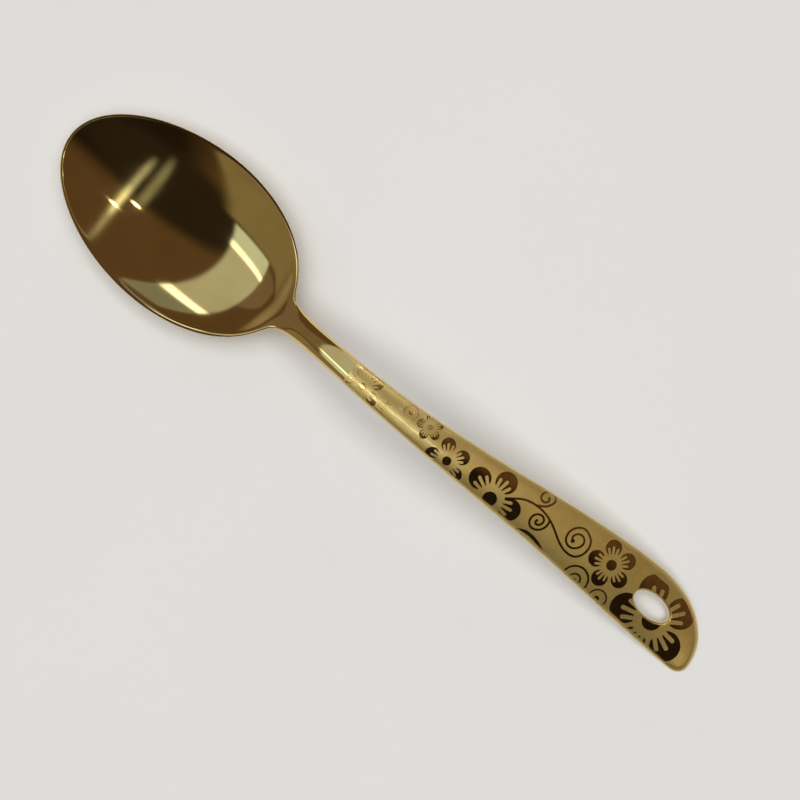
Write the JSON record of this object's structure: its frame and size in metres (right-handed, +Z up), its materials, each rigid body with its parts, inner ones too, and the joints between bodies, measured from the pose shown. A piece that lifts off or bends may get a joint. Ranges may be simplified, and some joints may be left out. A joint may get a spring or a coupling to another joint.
{
  "type": "serving spoon",
  "caption": "Gold-coloured metal serving spoon with an egg-shaped bowl, a rounded neck and an arched flat handle that flares to one side, with an oval hanging eye.",
  "frame": {"origin": "on the table under the middle of the spoon's length, on the bowl's centre line", "axes": "+X along the spoon from the bowl to the end of the handle, +Y towards the side on which the handle flares, +Z up out of the open bowl"},
  "size_m": [0.235, 0.0492, 0.0308],
  "materials": {
    "polished_gold": "polished",
    "satin_gold": "satin"
  },
  "bodies": {
    "root": {"bowl": "polished_gold", "neck": "polished_gold", "stem": "satin_gold", "handle_end": "satin_gold"}
  },
  "joints": []
}
